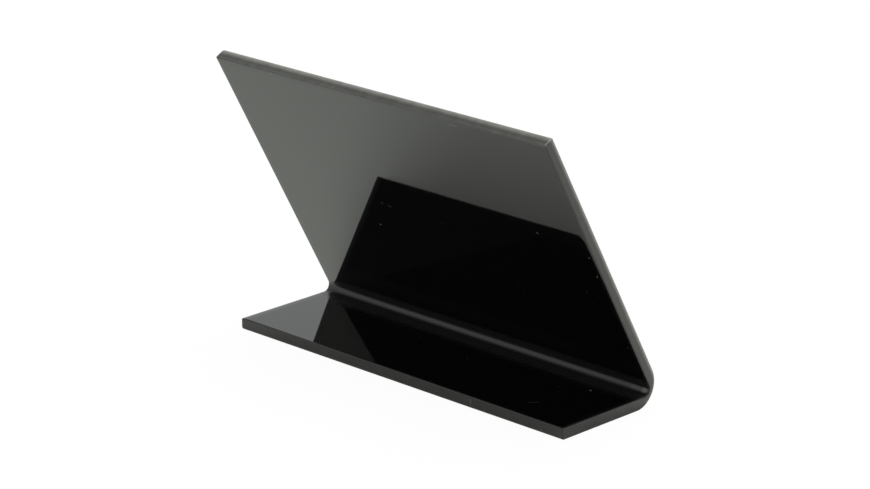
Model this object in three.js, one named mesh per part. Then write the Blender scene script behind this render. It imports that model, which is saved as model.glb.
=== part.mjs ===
// A small tabletop chalkboard: one piece of black cast acrylic sheet, cut to size, its cut edges
// flame polished, then folded once on a strip heater. The writing board leans back over a flat foot.
//
// Lengths are in millimetres and +Z is up. The writing face looks towards -Y and the foot runs back
// to +Y. The origin lies on the table, in the middle of the overall width and depth.

import * as THREE from "three";

// Driving dimensions
const boardWidth = 105; // across the front, an A7 sheet laid landscape
const boardHeight = 76; // up the slope, from the inside corner of the fold to the top edge
const footDepth = 30.15; // from the inside corner of the fold to the foot's free edge
const sheetThickness = 2.9; // a sheet sold as 3 mm
const leanAngle = THREE.MathUtils.degToRad(61); // between the board and the table
const insideFoldRadius = 1.7;
const outsideFoldRadius = 5.85; // over twice the inside one, as the stretched wall gets thinner
const edgeRadius = 0.45; // flame polishing rounds each cut edge
const cornerRemainder = 0.12; // what is left of that radius where two rounded edges meet
const foldEndFlare = 0.12; // how far the squeezed inside of the fold stands out at its ends
const foldReach = 3.2; // how far from the fold's middle that still shows

const halfArcSegments = 8; // three.js gives each arc of a shape twice as many
const endRoundingSegments = 4;

// The fold seen from the side, with the foot's underside on the line z = 0. The two inside faces
// would meet at insideCorner and the two outside faces at outsideCorner if the fold were sharp.
const halfLean = leanAngle / 2;
const upTheBoard = new THREE.Vector2(Math.cos(leanAngle), Math.sin(leanAngle));
const outOfTheBoard = new THREE.Vector2(-Math.sin(leanAngle), Math.cos(leanAngle));
const insideCorner = new THREE.Vector2(0, sheetThickness);
const outsideCorner = new THREE.Vector2(-sheetThickness / Math.tan(halfLean), 0);
const intoTheCorner = new THREE.Vector2(Math.cos(halfLean), Math.sin(halfLean));

// The board's outline from the side, one named corner at a time and counterclockwise.
function sheetOutline() {
  const footEdgeUnder = new THREE.Vector2(footDepth, 0);
  const footEdgeOver = new THREE.Vector2(footDepth, sheetThickness);
  const topEdgeBack = insideCorner.clone().addScaledVector(upTheBoard, boardHeight);
  const topEdgeFront = topEdgeBack.clone().addScaledVector(outOfTheBoard, sheetThickness);
  return [
    { at: outsideCorner, radius: outsideFoldRadius },
    { at: footEdgeUnder, radius: edgeRadius },
    { at: footEdgeOver, radius: edgeRadius },
    { at: insideCorner, radius: insideFoldRadius },
    { at: topEdgeBack, radius: edgeRadius },
    { at: topEdgeFront, radius: edgeRadius },
  ];
}

// A closed shape through the corners, each rounded by an arc that touches both of its sides.
function roundedShape(corners) {
  const shape = new THREE.Shape();
  corners.forEach(({ at, radius }, index) => {
    const before = corners.at(index - 1).at;
    const after = corners[(index + 1) % corners.length].at;
    const back = before.clone().sub(at).normalize();
    const onward = after.clone().sub(at).normalize();
    const halfAngle = back.angleTo(onward) / 2;
    const turnsLeft = onward.cross(back) > 0;
    const bisector = back.clone().add(onward).normalize();
    const centre = at.clone().addScaledVector(bisector, radius / Math.sin(halfAngle));
    const tangentLength = radius / Math.tan(halfAngle);
    const start = at.clone().addScaledVector(back, tangentLength).sub(centre);
    const end = at.clone().addScaledVector(onward, tangentLength).sub(centre);
    shape.absarc(centre.x, centre.y, radius, start.angle(), end.angle(), !turnsLeft);
  });
  shape.closePath();
  return shape;
}

// Folding squeezes the inside of the bend and stretches its outside. At both ends of the fold the
// inside is pushed out along the fold line, and the outside is drawn in by as much.
function flareFoldEnds(geometry) {
  const insideDepth = insideFoldRadius * (1 / Math.sin(halfLean) - 1);
  const outsideDepth = outsideFoldRadius * (1 / Math.sin(halfLean) - 1);
  const innerSkin = insideCorner.clone().addScaledVector(intoTheCorner, insideDepth);
  const outerSkin = outsideCorner.clone().addScaledVector(intoTheCorner, outsideDepth);
  const middle = innerSkin.clone().add(outerSkin).divideScalar(2);
  const halfWall = innerSkin.distanceTo(outerSkin) / 2;
  const position = geometry.getAttribute("position");
  for (let i = 0; i < position.count; i++) {
    const fromMiddle = new THREE.Vector2(position.getX(i), position.getY(i)).sub(middle);
    const towardsInside = fromMiddle.dot(intoTheCorner) / halfWall;
    const fade = Math.exp(-((fromMiddle.length() / foldReach) ** 2));
    const end = Math.sign(position.getZ(i));
    position.setZ(i, position.getZ(i) + end * foldEndFlare * towardsInside * fade);
  }
  return geometry;
}

// The whole sheet, extruded along the fold line, with its two cut ends rounded like its other edges.
function foldedSheet() {
  const endRounding = edgeRadius - cornerRemainder;
  const straightWidth = boardWidth - 2 * endRounding;
  const geometry = new THREE.ExtrudeGeometry(roundedShape(sheetOutline()), {
    depth: straightWidth,
    steps: 1,
    curveSegments: halfArcSegments,
    bevelEnabled: true,
    bevelThickness: endRounding,
    bevelSize: endRounding,
    bevelOffset: -endRounding,
    bevelSegments: endRoundingSegments,
  });
  geometry.translate(0, 0, -straightWidth / 2);
  return flareFoldEnds(geometry);
}

const blackAcrylic = new THREE.MeshStandardMaterial({
  color: 0x0a0a0b,
  roughness: 0.06,
  metalness: 0,
});

// The outline's x runs back along the foot and its y runs up, so the sheet turns onto the table.
const geometry = foldedSheet();
geometry.computeBoundingBox();
const { min, max } = geometry.boundingBox;
const sheet = new THREE.Mesh(geometry, blackAcrylic);
sheet.name = "chalkboard_sheet";
sheet.rotation.set(Math.PI / 2, 0, Math.PI / 2, "ZYX");
sheet.position.y = -(min.x + max.x) / 2;

const chalkboard = new THREE.Group();
chalkboard.add(sheet);

export default chalkboard;
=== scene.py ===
import math

import bmesh
import bpy
from mathutils import Matrix, Vector


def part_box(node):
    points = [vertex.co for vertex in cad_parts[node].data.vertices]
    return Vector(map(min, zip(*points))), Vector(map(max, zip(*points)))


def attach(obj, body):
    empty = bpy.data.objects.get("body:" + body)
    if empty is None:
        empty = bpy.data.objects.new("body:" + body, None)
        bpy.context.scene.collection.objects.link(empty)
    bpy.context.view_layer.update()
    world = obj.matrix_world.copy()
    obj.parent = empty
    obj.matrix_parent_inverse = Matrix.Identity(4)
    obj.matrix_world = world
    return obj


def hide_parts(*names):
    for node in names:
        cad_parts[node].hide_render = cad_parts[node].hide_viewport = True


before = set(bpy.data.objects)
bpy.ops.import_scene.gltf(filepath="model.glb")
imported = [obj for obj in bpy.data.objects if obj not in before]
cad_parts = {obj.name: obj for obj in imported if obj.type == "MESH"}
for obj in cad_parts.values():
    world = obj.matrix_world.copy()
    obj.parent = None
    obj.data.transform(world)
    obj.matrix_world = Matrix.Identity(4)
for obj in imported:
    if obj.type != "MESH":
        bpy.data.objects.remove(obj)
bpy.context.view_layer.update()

# A small chalkboard folded from one sheet of black acrylic, seen from behind. Metres, +Z up, and
# the writing face looks towards -Y. In this file "foot" is the part that lies flat on the table,
# "board" the leaning part, and "fold" the bend between them.

mm = 0.001

sheet = {
    "width": 105.0 * mm,
    "boardHeight": 75.88 * mm,  # inside corner of the fold to the top edge
    "footDepth": 30.15 * mm,  # inside corner of the fold to the foot's free edge
    "thickness": 2.9 * mm,
    "lean": math.radians(61.0),  # between board and table
    "insideFoldRadius": 1.5 * mm,
    "outsideFoldRadius": 5.85 * mm,
    "leftRollOff": 0.15 * mm,  # how far the foot's inside skin sinks at its end towards +X
    "rightRollOff": 0.02 * mm,
    "footRollReach": 2.4 * mm,  # how far from a cut that starts
    "boardRollOff": 0.03 * mm,
    "boardRollReach": 1.6 * mm,
    "foldEndFlare": 0.05 * mm,  # the squeezed inside of the fold stands out at its ends
    "foldEndDraw": 0.10 * mm,  # and the stretched outside is drawn in
    "foldEndReach": 3.4 * mm,  # how far round the fold's middle that shows
    "foldEndDepth": 3.33 * mm,  # and how far along the fold
    "endRounding": 0.5 * mm,  # where the end roundings start
    "lastRounding": math.radians(87.0),  # how far round they go
}

# Each cut has a rounding on its outer side (the writing side and the underside) and one on its
# inner side (inside the fold), as reach along the skin and reach into the thickness. "corner" is
# the rounding where it meets an end. A cut is a little paler than the skin, as sawn acrylic is; the
# top cut is paler than the others, which paints the light falling on it from above. A painted
# highlight runs along the outer rim of the top cut and of the board's ends, and a cut is lighter or
# darker along its inner rim.
edges = {
    "top": {
        "outer": (0.27 * mm, 0.95 * mm),
        "inner": (0.24 * mm, 0.26 * mm),
        "corner": 0.48 * mm,
        # the top cut's extra paleness is painted light from above, and the next value paints a
        # highlight along its outer rim
        "pale": 0.122,
        "rimHighlight": 0.60,
        "rimReach": 1.65 * mm,
        "innerPale": 0.06,
    },
    "front": {
        "outer": (0.55 * mm, 0.90 * mm),
        "inner": (0.32 * mm, 0.30 * mm),
        "corner": 0.32 * mm,
        "pale": 0.038,
        "rimHighlight": 0.0,
        "rimReach": 0.8 * mm,
        "innerPale": -0.025,
    },
    "boardEnd": {
        "outer": (0.48 * mm, 1.3 * mm),
        "inner": (0.52 * mm, 0.42 * mm),
        "pale": 0.058,
        # a painted highlight along the outer rim of the board's ends
        "rimHighlight": 0.88,
        "rimReach": 1.2 * mm,
        "innerPale": 0.01,
    },
    "footEnd": {
        "outer": (0.30 * mm, 0.50 * mm),
        "inner": (0.35 * mm, 0.30 * mm),
        "pale": 0.045,
        "rimHighlight": 0.0,
        "rimReach": 0.8 * mm,
        "innerPale": -0.025,
    },
}

# How finely the mesh is cut. Columns run round the section, and rows lie along the fold.
fineness = {
    "nearCut": 10,
    "footColumns": 24,
    "foldColumns": 44,
    "boardColumns": 60,
    "rounding": 10,
    "cutFace": 8,
    "rollRows": 14,  # rows lie closest where the skin rolls off at the ends
    "rollZone": 2.64 * mm,
    "flareRows": 12,  # and wider as far as the fold's ends are flared
    "flareZone": 8.0 * mm,
    "middleRows": 22,
    "besideFold": 0.06 * mm,  # a narrow column that keeps the flats' shading flat up to the fold
}
print("sheet values ready")


def foldCentres():
    # centres of the outside and inside arcs, in the section plane (back, up)
    thickness, slope = sheet["thickness"], math.tan(sheet["lean"] / 2)
    outside, inside = sheet["outsideFoldRadius"], sheet["insideFoldRadius"]
    outer = Vector(((outside - thickness) / slope, outside))
    return outer, Vector((inside / slope, thickness + inside))


def sectionMiddle():
    # the middle of the section's overall depth, which is the part's own y = 0
    low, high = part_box("chalkboard_sheet")
    front = foldCentres()[0].x - sheet["outsideFoldRadius"]
    return front + (high[1] - low[1]) / 2


def skins(run, zone):
    # a point on the outer skin and one on the inner skin. The foot's and the board's run is the
    # distance from the cut edge, and the fold's run goes from 0 at the foot to 1 at the board
    thickness, lean = sheet["thickness"], sheet["lean"]
    outside, inside = sheet["outsideFoldRadius"], sheet["insideFoldRadius"]
    outer, inner = foldCentres()
    if zone == "fold":
        angle = -math.pi / 2 - run * (math.pi - lean)
        ray = Vector((math.cos(angle), math.sin(angle)))
        return outer + ray * outside, inner + ray * inside
    if zone == "foot":
        length = sheet["footDepth"] - outer.x
        slip = (outer.x - inner.x) * (run / length) ** 2
        back = sheet["footDepth"] - run
        return Vector((back, 0)), Vector((back - slip, thickness))
    up = Vector((math.cos(lean), math.sin(lean)))
    out = Vector((-math.sin(lean), math.cos(lean)))
    innerTop = Vector((0, thickness)) + up * sheet["boardHeight"]
    outerTop = innerTop + out * thickness
    length = (outerTop - outer - out * outside).length
    slip = ((innerTop - inner - out * inside).length - length) * (run / length) ** 2
    return outerTop - up * run, innerTop - up * (run + slip)


def zoneLengths():
    # along the outer skin, from the cut edges of the foot and the board to the fold's arc
    arcStart = foldCentres()[0].x
    return {"foot": sheet["footDepth"] - arcStart, "board": sheet["boardHeight"] - arcStart}


def steps(start, end, count):
    return [start + (end - start) * i / count for i in range(count + 1)]


def flatRuns(length, first, count):
    # distances from a cut edge: close together where the skin rolls off, and wider further in
    near = steps(first, sheet["footRollReach"], fineness["nearCut"])
    far = steps(near[-1], length - fineness["besideFold"], count)
    return near + far[1:] + [length]


def skinColumns(name):
    # the columns of one skin, from the foot's free edge round to the board's top edge
    lengths = zoneLengths()
    foot = flatRuns(lengths["foot"], edges["front"][name][0], fineness["footColumns"])
    board = flatRuns(lengths["board"], edges["top"][name][0], fineness["boardColumns"])
    fold = steps(0, 1, fineness["foldColumns"])[1:-1]
    columns = [(run, "foot") for run in foot] + [(run, "fold") for run in fold]
    return columns + [(run, "board") for run in reversed(board)]


def rowPlaces():
    # places along the fold line between the two end roundings
    half = sheet["width"] / 2 - sheet["endRounding"]
    places = steps(half, half - fineness["rollZone"], fineness["rollRows"])
    places += steps(places[-1], half - fineness["flareZone"], fineness["flareRows"])[1:]
    places += steps(places[-1], 0, fineness["middleRows"])[1:]
    return [-x for x in places] + places[-2::-1]


def towardsBoard(run, zone):
    return {"foot": 0.0, "fold": run, "board": 1.0}[zone]


def endValue(run, zone, name):
    # a value of the sheet's end cut, which changes from the foot's to the board's round the fold
    share = towardsBoard(run, zone)
    foot, board = edges["footEnd"][name], edges["boardEnd"][name]
    if isinstance(foot, tuple):
        return [f * (1 - share) + b * share for f, b in zip(foot, board)]
    return foot * (1 - share) + board * share


def ring(angle, end, place=None):
    # one closed ring of points round the section, each as (run, zone, depth, x), where depth is 0 on
    # the outer skin and 1 on the inner one. A ring either lies at a place along the fold, or belongs
    # to the rounding of the end at -X (-1) or +X (1), at an angle that is 0 where the rounding starts
    thickness = sheet["thickness"]
    inset, keep = 1 - math.cos(angle), math.cos(angle)

    def point(run, zone, depth):
        if place is not None:
            return (run, zone, depth, place)
        outerReach, outerDeep = endValue(run, zone, "outer")
        innerReach, innerDeep = endValue(run, zone, "inner")
        low, high = outerDeep * inset / thickness, 1 - innerDeep * inset / thickness
        reach = outerReach + (innerReach - outerReach) * depth
        x = end * (sheet["width"] / 2 - reach * (1 - math.sin(angle)))
        return (run, zone, low + (high - low) * depth, x)

    def skin(name, depth):
        points = []
        for run, zone in skinColumns(name):
            if zone != "fold":
                # near the cut edges the columns follow the shrinking roundings
                edge = edges["front" if zone == "foot" else "top"]
                first = edge[name][0]
                near = max(0.0, 1 - (run - first) / sheet["footRollReach"])
                run += (edge["corner"] - first) * inset * near
            points.append(point(run, zone, depth))
        return points

    def rounding(edge, zone, name):
        # the points between a skin and a cut face, from the skin
        points = []
        reach, deep = edges[edge][name]
        for k in range(1, fineness["rounding"]):
            turn = math.pi / 2 * k / fineness["rounding"]
            run = edges[edge]["corner"] * inset + reach * keep * (1 - math.sin(turn))
            depth = deep / thickness * keep * (1 - math.cos(turn))
            points.append(point(run, zone, depth if name == "outer" else 1 - depth))
        return points

    def cutFace(edge, zone):
        # from the outer skin's rounding to the inner skin's
        run = edges[edge]["corner"] * inset
        low = edges[edge]["outer"][1] / thickness * keep
        high = 1 - edges[edge]["inner"][1] / thickness * keep
        return [point(run, zone, depth) for depth in steps(low, high, fineness["cutFace"])]

    points = skin("outer", 0.0)
    points += rounding("top", "board", "outer")
    points += cutFace("top", "board")
    points += rounding("top", "board", "inner")[::-1]
    points += skin("inner", 1.0)[::-1]
    points += rounding("front", "foot", "inner")
    points += cutFace("front", "foot")[::-1]
    points += rounding("front", "foot", "outer")[::-1]
    return points


def sunk(run, zone, x):
    # how far the inside skin has sunk here, next to a cut
    toEnd = sheet["width"] / 2 - abs(x)
    rollOff = sheet["leftRollOff" if x > 0 else "rightRollOff"]
    footDrop = rollOff * max(0.0, 1 - toEnd / sheet["footRollReach"]) ** 2
    if zone == "foot":
        return footDrop
    near = toEnd if zone == "fold" else min(toEnd, run)
    boardDrop = sheet["boardRollOff"] * max(0.0, 1 - near / sheet["boardRollReach"]) ** 2
    share = towardsBoard(run, zone)
    return footDrop * (1 - share) + boardDrop * share


def shaped(run, zone, depth, x):
    # the point's place, with the skin's roll-off and the fold's drawn ends
    outer, inner = skins(run, zone)
    across = (inner - outer).normalized()
    point = outer.lerp(inner, depth) - across * sunk(run, zone, x) * depth
    middleOuter, middleInner = skins(0.5, "fold")
    gap = (point - middleOuter.lerp(middleInner, 0.5)).length
    inwards = sheet["width"] / 2 - abs(x)
    fade = math.exp(-((gap / sheet["foldEndReach"]) ** 2) - (inwards / sheet["foldEndDepth"]) ** 2)
    lift = sheet["foldEndFlare"] * depth - sheet["foldEndDraw"] * (1 - depth)
    return x + math.copysign(1, x) * fade * lift, point.x, point.y


# The dullness that the strip heater and the saw have left, a painted glow beside the fold and a paler
# band along the ends. Dullness goes from 0 to 1, and so does paleness.
traces = {
    "arcDull": 0.42,  # the heated inside of the fold is duller than the flats
    "besideDull": 0.95,  # most of all where its arc ends
    "besideSharpness": 3,
    "dullOnFoot": 2.8 * mm,
    "dullOnBoard": 0.9 * mm,
    "dullFromLeft": 7.0 * mm,  # the flats are still clear at the end towards +X
    "besideFoldGlow": 0.001,
    "hazeOnFoot": 2.6 * mm,  # and a painted glow, standing for the fold's highlight mirrored in the flats, reaches further
    "hazeOnBoard": 1.4 * mm,
    "endBand": 0.02,  # and a faint paler band along both ends of the inside skin
    "endBandReach": 1.8 * mm,
    "cutDull": 0.29,
    "cornerDull": 1.4,  # a quarter of it at most is added where two cuts meet
    # how the painted rim highlight fades into the cut, and how far the inner rim's band reaches
    "rimSharpness": 1.2,
    "innerRimReach": 0.9 * mm,
}


def pastFold(run, zone):
    # distance along the skin from the fold's arc, and the side that lies on
    if zone == "fold":
        return 0.0, "Foot" if run < 0.5 else "Board"
    return zoneLengths()[zone] - run, zone.capitalize()


def skinDullness(run, zone, depth, x):
    past, side = pastFold(run, zone)
    offMiddle = abs(run - 0.5) * 2 if zone == "fold" else 1.0
    beside = (traces["besideDull"] - traces["arcDull"]) * offMiddle ** traces["besideSharpness"]
    beside *= 1 - math.exp(-(((sheet["width"] / 2 - x) / traces["dullFromLeft"]) ** 2))
    fade = math.exp(-((past / traces["dullOn" + side]) ** 2))
    return depth * (traces["arcDull"] + beside) * fade


def skinPaleness(run, zone, depth, x):
    # a painted glow beside the fold, standing for the fold's highlight mirrored in the flats, and a
    # faint paler band along both ends
    past, side = pastFold(run, zone)
    haze = traces["besideFoldGlow"] * math.exp(-((past / traces["hazeOn" + side]) ** 2))
    toEnd = (sheet["width"] / 2 - abs(x)) / traces["endBandReach"]
    return depth * (haze + traces["endBand"] * max(0.0, 1 - toEnd) ** 2)


def cutPaleness(edge, depth):
    # the cut's own paler tone, a painted highlight along its outer rim, and lighter or darker along
    # its inner rim
    under, over = depth * sheet["thickness"], (1 - depth) * sheet["thickness"]
    rim = max(0.0, 1 - under / edge["rimReach"]) ** traces["rimSharpness"]
    innerRim = max(0.0, 1 - over / traces["innerRimReach"])
    return edge["pale"] + edge["rimHighlight"] * rim + edge["innerPale"] * innerRim


def endPaleness(run, zone, depth):
    names = ("pale", "rimHighlight", "rimReach", "innerPale")
    return cutPaleness({name: endValue(run, zone, name) for name in names}, depth)


def pointLook(point, ringShare, rowShare, edge):
    # the paleness, painted light included, and the dullness of a point. The shares say how much of a
    # cut it is, round the ring and along the fold
    run, zone, depth, x = point
    cut = max(ringShare, rowShare)
    onEdge = ringShare * cutPaleness(edges[edge], depth)
    onEnd = rowShare * endPaleness(run, zone, depth)
    onSkin = (1 - cut) * skinPaleness(run, zone, depth, x)
    corner = ringShare * rowShare * (1 - rowShare)
    cutDull = traces["cutDull"] * cut + traces["cornerDull"] * corner
    return max(onEdge, onEnd, onSkin), cutDull + (1 - cut) * skinDullness(run, zone, depth, x)


def sheetRings():
    # the rings from the end at -X to the end at +X, and how much of a cut each one is
    count = fineness["rounding"]
    rising = [k / count for k in range(1, count + 1)]
    angles = [sheet["lastRounding"] * share for share in rising]
    places = rowPlaces()
    rings = [ring(angle, -1) for angle in reversed(angles)]
    rings += [ring(0.0, 1, x) for x in places]
    rings += [ring(angle, 1) for angle in angles]
    return rings, rising[::-1] + [0.0] * len(places) + rising


def ringShares():
    # how much of a cut each point round a ring is, and the cut that it is nearest to
    count = fineness["rounding"]
    rising = [math.sqrt(k / count) for k in range(1, count)]
    skin = [0.0] * len(skinColumns("outer"))
    cut = rising + [1.0] * (fineness["cutFace"] + 1) + rising[::-1]
    half = len(skin) + len(cut)
    return (skin + cut) * 2, ["top"] * half + ["front"] * half


def bandFaces(ringCount, count):
    # the faces between each ring and the next
    faces = []
    for base in range(0, (ringCount - 1) * count, count):
        for i in range(count):
            k = (i + 1) % count
            faces.append((base + i, base + k, base + count + k, base + count + i))
    return faces


def endFaces(points, base, count):
    # closes the ring of points that starts at base. The cut face gets lines of new points across the
    # sheet's thickness, so that it can bow with the fold
    columns = len(skinColumns("outer"))
    side = count // 2 - columns  # points round a cut edge
    grid = []
    for i in range(columns):
        opposite = base + 2 * columns + side - 1 - i
        start, end = points[base + i], points[opposite]
        line = [base + i]
        for share in steps(0, 1, fineness["cutFace"])[1:-1]:
            line.append(len(points))
            run, depth, x = (start[k] + (end[k] - start[k]) * share for k in (0, 2, 3))
            points.append((run, start[1], depth, x))
        grid.append(line + [opposite])
    faces = []
    for line, nextLine in zip(grid, grid[1:]):
        for d in range(fineness["cutFace"]):
            faces.append((line[d], line[d + 1], nextLine[d + 1], nextLine[d]))
    topEdge = [base + columns - 1 + k for k in range(side + 2)]
    frontEdge = [base + (2 * columns + side - 1 + k) % count for k in range(side + 2)]
    faces.append(tuple(topEdge + grid[-1][-2:0:-1]))
    faces.append(tuple(frontEdge + grid[0][1:-1]))
    return faces


def makeSheet():
    rings, rowShares = sheetRings()
    shares, edgeNames = ringShares()
    points, looks = [], []
    for row, rowShare in zip(rings, rowShares):
        points += row
        for point, share, edge in zip(row, shares, edgeNames):
            looks.append(pointLook(point, share, rowShare, edge))
    count = len(shares)
    faces = bandFaces(len(rings), count)
    faces += endFaces(points, 0, count)
    faces += [face[::-1] for face in endFaces(points, len(looks) - count, count)]
    looks += [pointLook(point, 0.0, 1.0, "top") for point in points[len(looks):]]

    middle = sectionMiddle()
    places = [shaped(*point) for point in points]
    mesh = bpy.data.meshes.new("foldedSheet")
    mesh.from_pydata([(x, back - middle, up) for x, back, up in places], [], faces)
    facing = bmesh.new()
    facing.from_mesh(mesh)
    bmesh.ops.recalc_face_normals(facing, faces=facing.faces)
    facing.to_mesh(mesh)
    facing.free()
    for name, values in zip(("palenessAndPaintedLight", "dullness"), zip(*looks)):
        mesh.attributes.new(name, "FLOAT", "POINT").data.foreach_set("value", values)
    for polygon in mesh.polygons:
        polygon.use_smooth = True
    piece = bpy.data.objects.new("foldedSheet", mesh)
    bpy.context.collection.objects.link(piece)
    return piece


acrylic = {
    "skinColour": (0.0002, 0.0002, 0.0002, 1),
    # the cuts' paler colour, which also paints the highlights, the glow and the glint
    "paleColour": (0.418, 0.396, 0.368, 1),
    "ior": 1.54,
    "skinRoughness": 0.02,
    "dullRoughness": 0.65,
    "wipedDull": 0.02,  # how unevenly the skin was wiped
    "wipedScale": 45.0,
    "waveHeight": 0.008 * mm,  # the cast sheet isn't quite flat
    "waveScale": 70.0,
    "cutUneven": 0.35,  # the saw's faint marks, left on the cuts
    "cutScale": 450.0,
    "noiseDetail": 1.0,
    "markCore": 0.3,  # the share of a mark's radius at full strength
}

# Dust as (place, radius, strength) and scratches as (start, end, radius, strength), in mm. A place
# on the board or the foot is the distance across, then the distance from the fold's inside corner.
# On "front", the foot's free cut edge, the second number is the height over the table, and on the
# fold it goes from 0 at the foot to 1 at the board. The two lines on the fold are no scratches but a
# painted highlight, a glint where the fold's highlight ends towards -X.
dust = {
    "board": [
        ((19.5, 31.6), 0.30, 0.36),
        ((14.8, 39.8), 0.28, 0.14),
        ((-4.4, 39.0), 0.28, 0.13),
        ((-36.9, 45.7), 0.30, 0.24),
        ((-29.9, 37.2), 0.28, 0.05),
        ((-50.9, 42.3), 0.28, 0.22),
        ((-50.9, 36.5), 0.30, 0.36),
        ((-45.0, 30.1), 0.23, 0.14),
        ((-27.9, 7.2), 0.28, 0.08),
    ],
    "foot": [
        ((-41.0, 8.3), 0.34, 0.95),
        ((-34.1, 11.5), 0.28, 0.13),
        ((11.7, 10.2), 0.24, 0.20),
        ((-6.4, 12.7), 0.34, 0.20),
    ],
    "front": [
        ((-28.3, 0.8), 0.30, 0.12),
        ((-46.0, 0.8), 0.30, 0.14),
    ],
}
scratchesAndGlint = {
    "board": [
        ((12.9, 39.6), (12.1, 39.5), 0.30, 0.05),
        ((-21.9, 24.9), (-21.4, 23.7), 0.20, 0.03),
        ((45.1, 44.0), (20.6, 46.0), 0.13, 0.035),
        ((-23.0, 74.6), (-25.5, 74.6), 0.25, 0.10),
        ((33.5, 75.3), (34.2, 75.3), 0.25, 0.12),
    ],
    "foot": [
        ((-36.0, 23.6), (-37.6, 22.1), 0.19, 0.14),
        ((-27.4, 18.0), (-27.9, 17.5), 0.18, 0.05),
    ],
    "front": [
        ((-24.2, 2.1), (-24.1, 0.95), 0.22, 0.14),
    ],
    # a painted highlight: a glint where the fold's highlight ends towards -X
    "fold": [
        ((-47.5, 0.52), (-51.3, 0.52), 0.80, 0.05),
        ((-50.9, 0.50), (-51.3, 0.50), 0.85, 0.20),
    ],
}


def feed(tree, socket, value):
    # joins a node's output to a socket, or sets the socket to a plain value
    if isinstance(value, bpy.types.NodeSocket):
        tree.links.new(value, socket)
    else:
        socket.default_value = value


def mathNode(tree, operation, *values):
    node = tree.nodes.new("ShaderNodeMath")
    node.operation = operation
    for socket, value in zip(node.inputs, values):
        feed(tree, socket, value)
    return node.outputs[0]


def vectorNode(tree, operation, *values):
    node = tree.nodes.new("ShaderNodeVectorMath")
    node.operation = operation
    sockets = [socket for socket in node.inputs if socket.enabled]
    for socket, value in zip(sockets, values):
        feed(tree, socket, value)
    return next(socket for socket in node.outputs if socket.enabled)


def rangeNode(tree, value, start, end, low=0.0, high=1.0, curve="LINEAR"):
    # turns low to high into start to end
    node = tree.nodes.new("ShaderNodeMapRange")
    node.interpolation_type = curve
    limits = {"Value": value, "From Min": low, "From Max": high, "To Min": start, "To Max": end}
    for name, limit in limits.items():
        feed(tree, node.inputs[name], limit)
    return node.outputs["Result"]


def softNoise(tree, place, scale):
    texture = tree.nodes.new("ShaderNodeTexNoise")
    texture.inputs["Scale"].default_value = scale
    texture.inputs["Detail"].default_value = acrylic["noiseDetail"]
    tree.links.new(place, texture.inputs["Vector"])
    return texture.outputs["Fac"]


def meshValue(tree, name):
    node = tree.nodes.new("ShaderNodeAttribute")
    node.attribute_name = name
    return node.outputs["Fac"]


def markPoint(skin, across, along):
    middle = sectionMiddle()
    if skin == "fold":
        inner = skins(along, "fold")[1]
        return Vector((across * mm, inner.x - middle, inner.y))
    if skin == "front":
        return Vector((across * mm, sheet["footDepth"] - middle, along * mm))
    lean = sheet["lean"] if skin == "board" else 0.0
    back, up = along * math.cos(lean) * mm, along * math.sin(lean) * mm
    return Vector((across * mm, back - middle, sheet["thickness"] + up))


def markShare(tree, away, radius):
    # 1 in the middle of a mark, fading to 0 at its radius
    distance = vectorNode(tree, "LENGTH", away)
    core = acrylic["markCore"] * radius
    return rangeNode(tree, distance, 1.0, 0.0, core, radius, "SMOOTHSTEP")


def withDust(tree, place, palenessAndPaintedLight):
    for skin, specks in dust.items():
        for spot, radius, strength in specks:
            away = vectorNode(tree, "SUBTRACT", place, markPoint(skin, *spot))
            share = markShare(tree, away, radius * mm)
            palenessAndPaintedLight = mathNode(tree, "MULTIPLY_ADD", share, strength, palenessAndPaintedLight)
    return palenessAndPaintedLight


def withScratchesAndGlint(tree, place, palenessAndPaintedLight):
    for skin, lines in scratchesAndGlint.items():
        for start, end, radius, strength in lines:
            start, end = markPoint(skin, *start), markPoint(skin, *end)
            length = end - start
            away = vectorNode(tree, "SUBTRACT", place, start)
            along = vectorNode(tree, "DOT_PRODUCT", away, length / length.length_squared)
            held = rangeNode(tree, along, 0.0, 1.0)
            nearest = vectorNode(tree, "SCALE", length, held)
            gap = vectorNode(tree, "SUBTRACT", away, nearest)
            share = markShare(tree, gap, radius * mm)
            palenessAndPaintedLight = mathNode(tree, "MULTIPLY_ADD", share, strength, palenessAndPaintedLight)
    return palenessAndPaintedLight


def acrylicColour(tree, place):
    # black on the skins and paler on the cuts, with the saw's marks, the dust, the scratches and
    # painted highlights and glow
    sawn = softNoise(tree, place, acrylic["cutScale"])
    grain = rangeNode(tree, sawn, 1 - acrylic["cutUneven"], 1 + acrylic["cutUneven"])
    palenessAndPaintedLight = mathNode(tree, "MULTIPLY", meshValue(tree, "palenessAndPaintedLight"), grain)
    palenessAndPaintedLight = withScratchesAndGlint(tree, place, withDust(tree, place, palenessAndPaintedLight))
    colour = tree.nodes.new("ShaderNodeMix")
    colour.data_type = "RGBA"
    colour.inputs["A"].default_value = acrylic["skinColour"]
    colour.inputs["B"].default_value = acrylic["paleColour"]
    tree.links.new(palenessAndPaintedLight, colour.inputs["Factor"])
    return colour.outputs["Result"]


def acrylicRoughness(tree, place):
    wiped = softNoise(tree, place, acrylic["wipedScale"])
    dullness = mathNode(tree, "MULTIPLY_ADD", wiped, acrylic["wipedDull"], meshValue(tree, "dullness"))
    return rangeNode(tree, dullness, acrylic["skinRoughness"], acrylic["dullRoughness"])


def castWaves(tree, place):
    wave = tree.nodes.new("ShaderNodeBump")
    wave.inputs["Strength"].default_value = 1.0
    wave.inputs["Distance"].default_value = acrylic["waveHeight"]
    tree.links.new(softNoise(tree, place, acrylic["waveScale"]), wave.inputs["Height"])
    return wave.outputs["Normal"]


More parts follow.
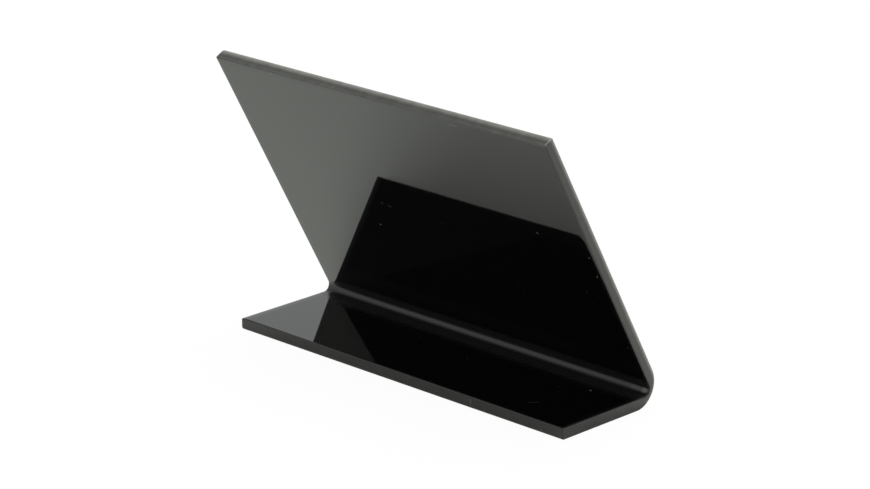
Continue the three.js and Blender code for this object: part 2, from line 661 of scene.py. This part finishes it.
def makeAcrylic():
    material = bpy.data.materials.new("glossBlackAcrylic")
    material.use_nodes = True
    tree = material.node_tree
    shader = tree.nodes["Principled BSDF"]
    shader.inputs["IOR"].default_value = acrylic["ior"]
    place = tree.nodes.new("ShaderNodeTexCoord").outputs["Object"]
    tree.links.new(acrylicColour(tree, place), shader.inputs["Base Color"])
    tree.links.new(acrylicRoughness(tree, place), shader.inputs["Roughness"])
    tree.links.new(castWaves(tree, place), shader.inputs["Normal"])
    return material


folded = makeSheet()
folded.data.materials.append(makeAcrylic())
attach(folded, "root")
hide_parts("chalkboard_sheet")
print("folded sheet made:", len(folded.data.vertices), "vertices")

studio = {
    "floorSize": 8.0,
    "floorColour": (0.966, 0.961, 0.91, 1),
    "floorWhite": 0.96,  # how much of the floor's shade the camera doesn't see
    "skyColour": (0.968, 1.0, 0.985, 1),
    "skyLow": 0.80,  # pale walls all round
    "skyHigh": 0.32,  # under a dim ceiling
    "skyTurn": (0.55, 0.75),  # sines of the elevations between which one becomes the other
    "lampSize": 0.9,
    "lampPlace": (0.1, -0.2, 1.15),
    "lampPower": 11.3,
    "lampColour": (0.95, 1.0, 0.98),
}


def mixed(tree, share, first, second):
    mix = tree.nodes.new("ShaderNodeMixShader")
    for socket, value in zip(mix.inputs, (share, first, second)):
        tree.links.new(value, socket)
    return mix.outputs[0]


def cameraRay(tree):
    return tree.nodes.new("ShaderNodeLightPath").outputs["Is Camera Ray"]


def makeFloor():
    material = bpy.data.materials.new("paleFloor")
    material.use_nodes = True
    tree = material.node_tree
    tree.nodes.clear()
    matte = tree.nodes.new("ShaderNodeBsdfDiffuse")
    matte.inputs["Color"].default_value = studio["floorColour"]
    white = tree.nodes.new("ShaderNodeEmission")
    # the gloss mirrors the floor's own shading and not this white, as the photo shows on the board
    share = mathNode(tree, "MULTIPLY", cameraRay(tree), studio["floorWhite"])
    output = tree.nodes.new("ShaderNodeOutputMaterial")
    surface = mixed(tree, share, matte.outputs[0], white.outputs[0])
    tree.links.new(surface, output.inputs["Surface"])

    half = studio["floorSize"] / 2
    corners = [(-half, -half, 0), (half, -half, 0), (half, half, 0), (-half, half, 0)]
    mesh = bpy.data.meshes.new("floor")
    mesh.from_pydata(corners, [], [(0, 1, 2, 3)])
    mesh.materials.append(material)
    floor = bpy.data.objects.new("floor", mesh)
    bpy.context.collection.objects.link(floor)


def makeSky():
    world = bpy.data.worlds.new("studioSky")
    bpy.context.scene.world = world
    world.use_nodes = True
    tree = world.node_tree
    tree.nodes.clear()
    split = tree.nodes.new("ShaderNodeSeparateXYZ")
    direction = tree.nodes.new("ShaderNodeTexCoord").outputs["Generated"]
    tree.links.new(direction, split.inputs[0])
    brightness = rangeNode(tree, split.outputs["Z"], studio["skyLow"], studio["skyHigh"],
                           *studio["skyTurn"], "SMOOTHSTEP")
    sky = tree.nodes.new("ShaderNodeBackground")
    sky.inputs["Color"].default_value = studio["skyColour"]
    tree.links.new(brightness, sky.inputs["Strength"])
    white = tree.nodes.new("ShaderNodeBackground")
    white.inputs["Color"].default_value = (1, 1, 1, 1)
    output = tree.nodes.new("ShaderNodeOutputWorld")
    surface = mixed(tree, cameraRay(tree), sky.outputs[0], white.outputs[0])
    tree.links.new(surface, output.inputs["Surface"])


def makeLamp():
    data = bpy.data.lights.new("overheadPanel", "AREA")
    data.size = studio["lampSize"]
    data.energy = studio["lampPower"]
    data.color = studio["lampColour"]
    lamp = bpy.data.objects.new("overheadPanel", data)
    bpy.context.collection.objects.link(lamp)
    lamp.location = studio["lampPlace"]


makeFloor()
makeSky()
makeLamp()
print("studio made")

view = {
    "place": (-0.525293, 0.552571, 0.278809),  # from the fold's inside corner, on the table
    "heading": math.radians(-45.5595),  # of the line of sight, from +X towards +Y
    "dip": math.radians(18.3169),  # of the line of sight, below the level
    "roll": math.radians(-0.075),
    "lens": 141.47,
    "sensor": 36.0,
    "nearest": 0.01,
}


def makeCamera():
    data = bpy.data.cameras.new("photoCamera")
    data.lens = view["lens"]
    data.sensor_width = view["sensor"]
    data.clip_start = view["nearest"]
    camera = bpy.data.objects.new("photoCamera", data)
    bpy.context.collection.objects.link(camera)
    x, y, z = view["place"]
    turn = Matrix.Rotation(view["heading"] - math.pi / 2, 4, "Z")
    tilt = Matrix.Rotation(math.pi / 2 - view["dip"], 4, "X")
    roll = Matrix.Rotation(view["roll"], 4, "Z")
    camera.matrix_world = Matrix.Translation((x, y - sectionMiddle(), z)) @ turn @ tilt @ roll
    bpy.context.scene.camera = camera


makeCamera()
bpy.context.scene.view_settings.view_transform = "Standard"
print("camera set")
